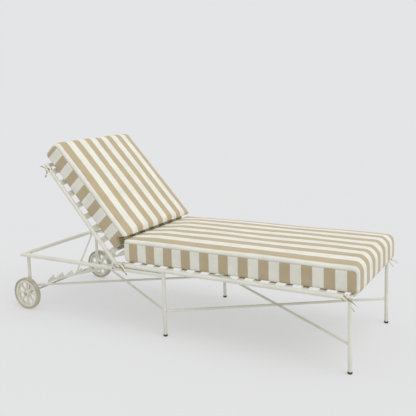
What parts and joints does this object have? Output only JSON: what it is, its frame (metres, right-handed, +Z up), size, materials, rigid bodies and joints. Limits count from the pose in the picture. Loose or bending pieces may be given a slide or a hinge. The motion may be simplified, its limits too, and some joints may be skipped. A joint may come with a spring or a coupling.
{
  "type": "reclining sun lounger",
  "caption": "Garden sun lounger with a welded tube frame on legs and two wheels, a reclining backrest held by a prop in toothed racks, and striped box cushions.",
  "frame": {"origin": "on the ground, under the middle of the outline", "axes": "+X from the head end with its wheels to the foot end, +Y across, +Z up"},
  "size_m": [1.9832, 0.7126, 0.9442],
  "materials": {
    "powder_coat": "satin",
    "rack_coat": "satin",
    "zinc": "satin",
    "glide_rubber": "matte",
    "tyre": "matte",
    "wheel_paint": "satin",
    "cushion_cloth": "matte",
    "tie_tape": "matte"
  },
  "bodies": {
    "frame": {"seat_rail_near": "powder_coat", "seat_rail_far": "powder_coat", "foot_cross_tube": "powder_coat", "base_rail_near": "powder_coat", "base_rail_far": "powder_coat", "head_cross_tube": "powder_coat", "rack_cross_tube": "powder_coat", "leg_mid_near": "powder_coat", "leg_mid_far": "powder_coat", "leg_foot_near": "powder_coat", "leg_foot_far": "powder_coat", "glide_mid_near": "glide_rubber", "glide_mid_far": "glide_rubber", "glide_foot_near": "glide_rubber", "glide_foot_far": "glide_rubber", "head_brace_through": "powder_coat", "head_brace_half_near": "powder_coat", "head_brace_half_far": "powder_coat", "foot_brace_through": "powder_coat", "foot_brace_half_near": "powder_coat", "foot_brace_half_far": "powder_coat", "wheel_post_near": "powder_coat", "wheel_post_far": "powder_coat", "wheel_axle": "zinc", "axle_washer_near": "zinc", "axle_washer_far": "zinc", "axle_cap_near": "zinc", "axle_cap_far": "zinc", "rack_near": "rack_coat", "rack_far": "rack_coat", "hinge_cheek_inner_near": "powder_coat", "hinge_cheek_inner_far": "powder_coat", "hinge_cheek_outer_near": "powder_coat", "hinge_cheek_outer_far": "powder_coat", "hinge_bolt_near": "zinc", "hinge_bolt_far": "zinc", "hinge_nut_near": "zinc", "hinge_nut_far": "zinc", "seat_slats": "powder_coat", "seat_cushion": "cushion_cloth", "tie_seat_head_near": "tie_tape", "tie_seat_head_far": "tie_tape", "tie_seat_foot_near": "tie_tape", "tie_seat_foot_far": "tie_tape"},
    "backrest": {"back_side_tube_near": "powder_coat", "back_side_tube_far": "powder_coat", "back_head_tube": "powder_coat", "back_slats": "powder_coat", "prop_lug_near": "powder_coat", "prop_lug_far": "powder_coat", "back_cushion": "cushion_cloth", "tie_back_head_near": "tie_tape", "tie_back_head_far": "tie_tape"},
    "prop": {"prop_cross_rod": "powder_coat", "prop_arm_near": "powder_coat", "prop_arm_far": "powder_coat"},
    "wheel_set_near": {"wheel_near": "wheel_paint", "tyre_near": "tyre"},
    "wheel_set_far": {"wheel_far": "wheel_paint", "tyre_far": "tyre"}
  },
  "joints": [
    {"name": "backrest_recline", "type": "hinge", "parent": "frame", "child": "backrest", "pos_m": [-0.268, 0, 0.33], "axis": [0, 1, 0], "range_deg": [-48.1, 10.5]},
    {"name": "prop_swing", "type": "hinge", "parent": "backrest", "child": "prop", "pos_m": [-0.43359, 0, 0.4719], "axis": [0, 1, 0], "range_deg": [-20, 86]},
    {"name": "wheel_near_spin", "type": "hinge", "parent": "frame", "child": "wheel_set_near", "pos_m": [-0.902, -0.32, 0.0889], "axis": [0, 1, 0], "continuous": true},
    {"name": "wheel_far_spin", "type": "hinge", "parent": "frame", "child": "wheel_set_far", "pos_m": [-0.902, 0.32, 0.0889], "axis": [0, 1, 0], "continuous": true}
  ],
  "couplings": [
    {"joint": "prop_swing", "follows": "backrest_recline", "ratio": -1.75}
  ]
}
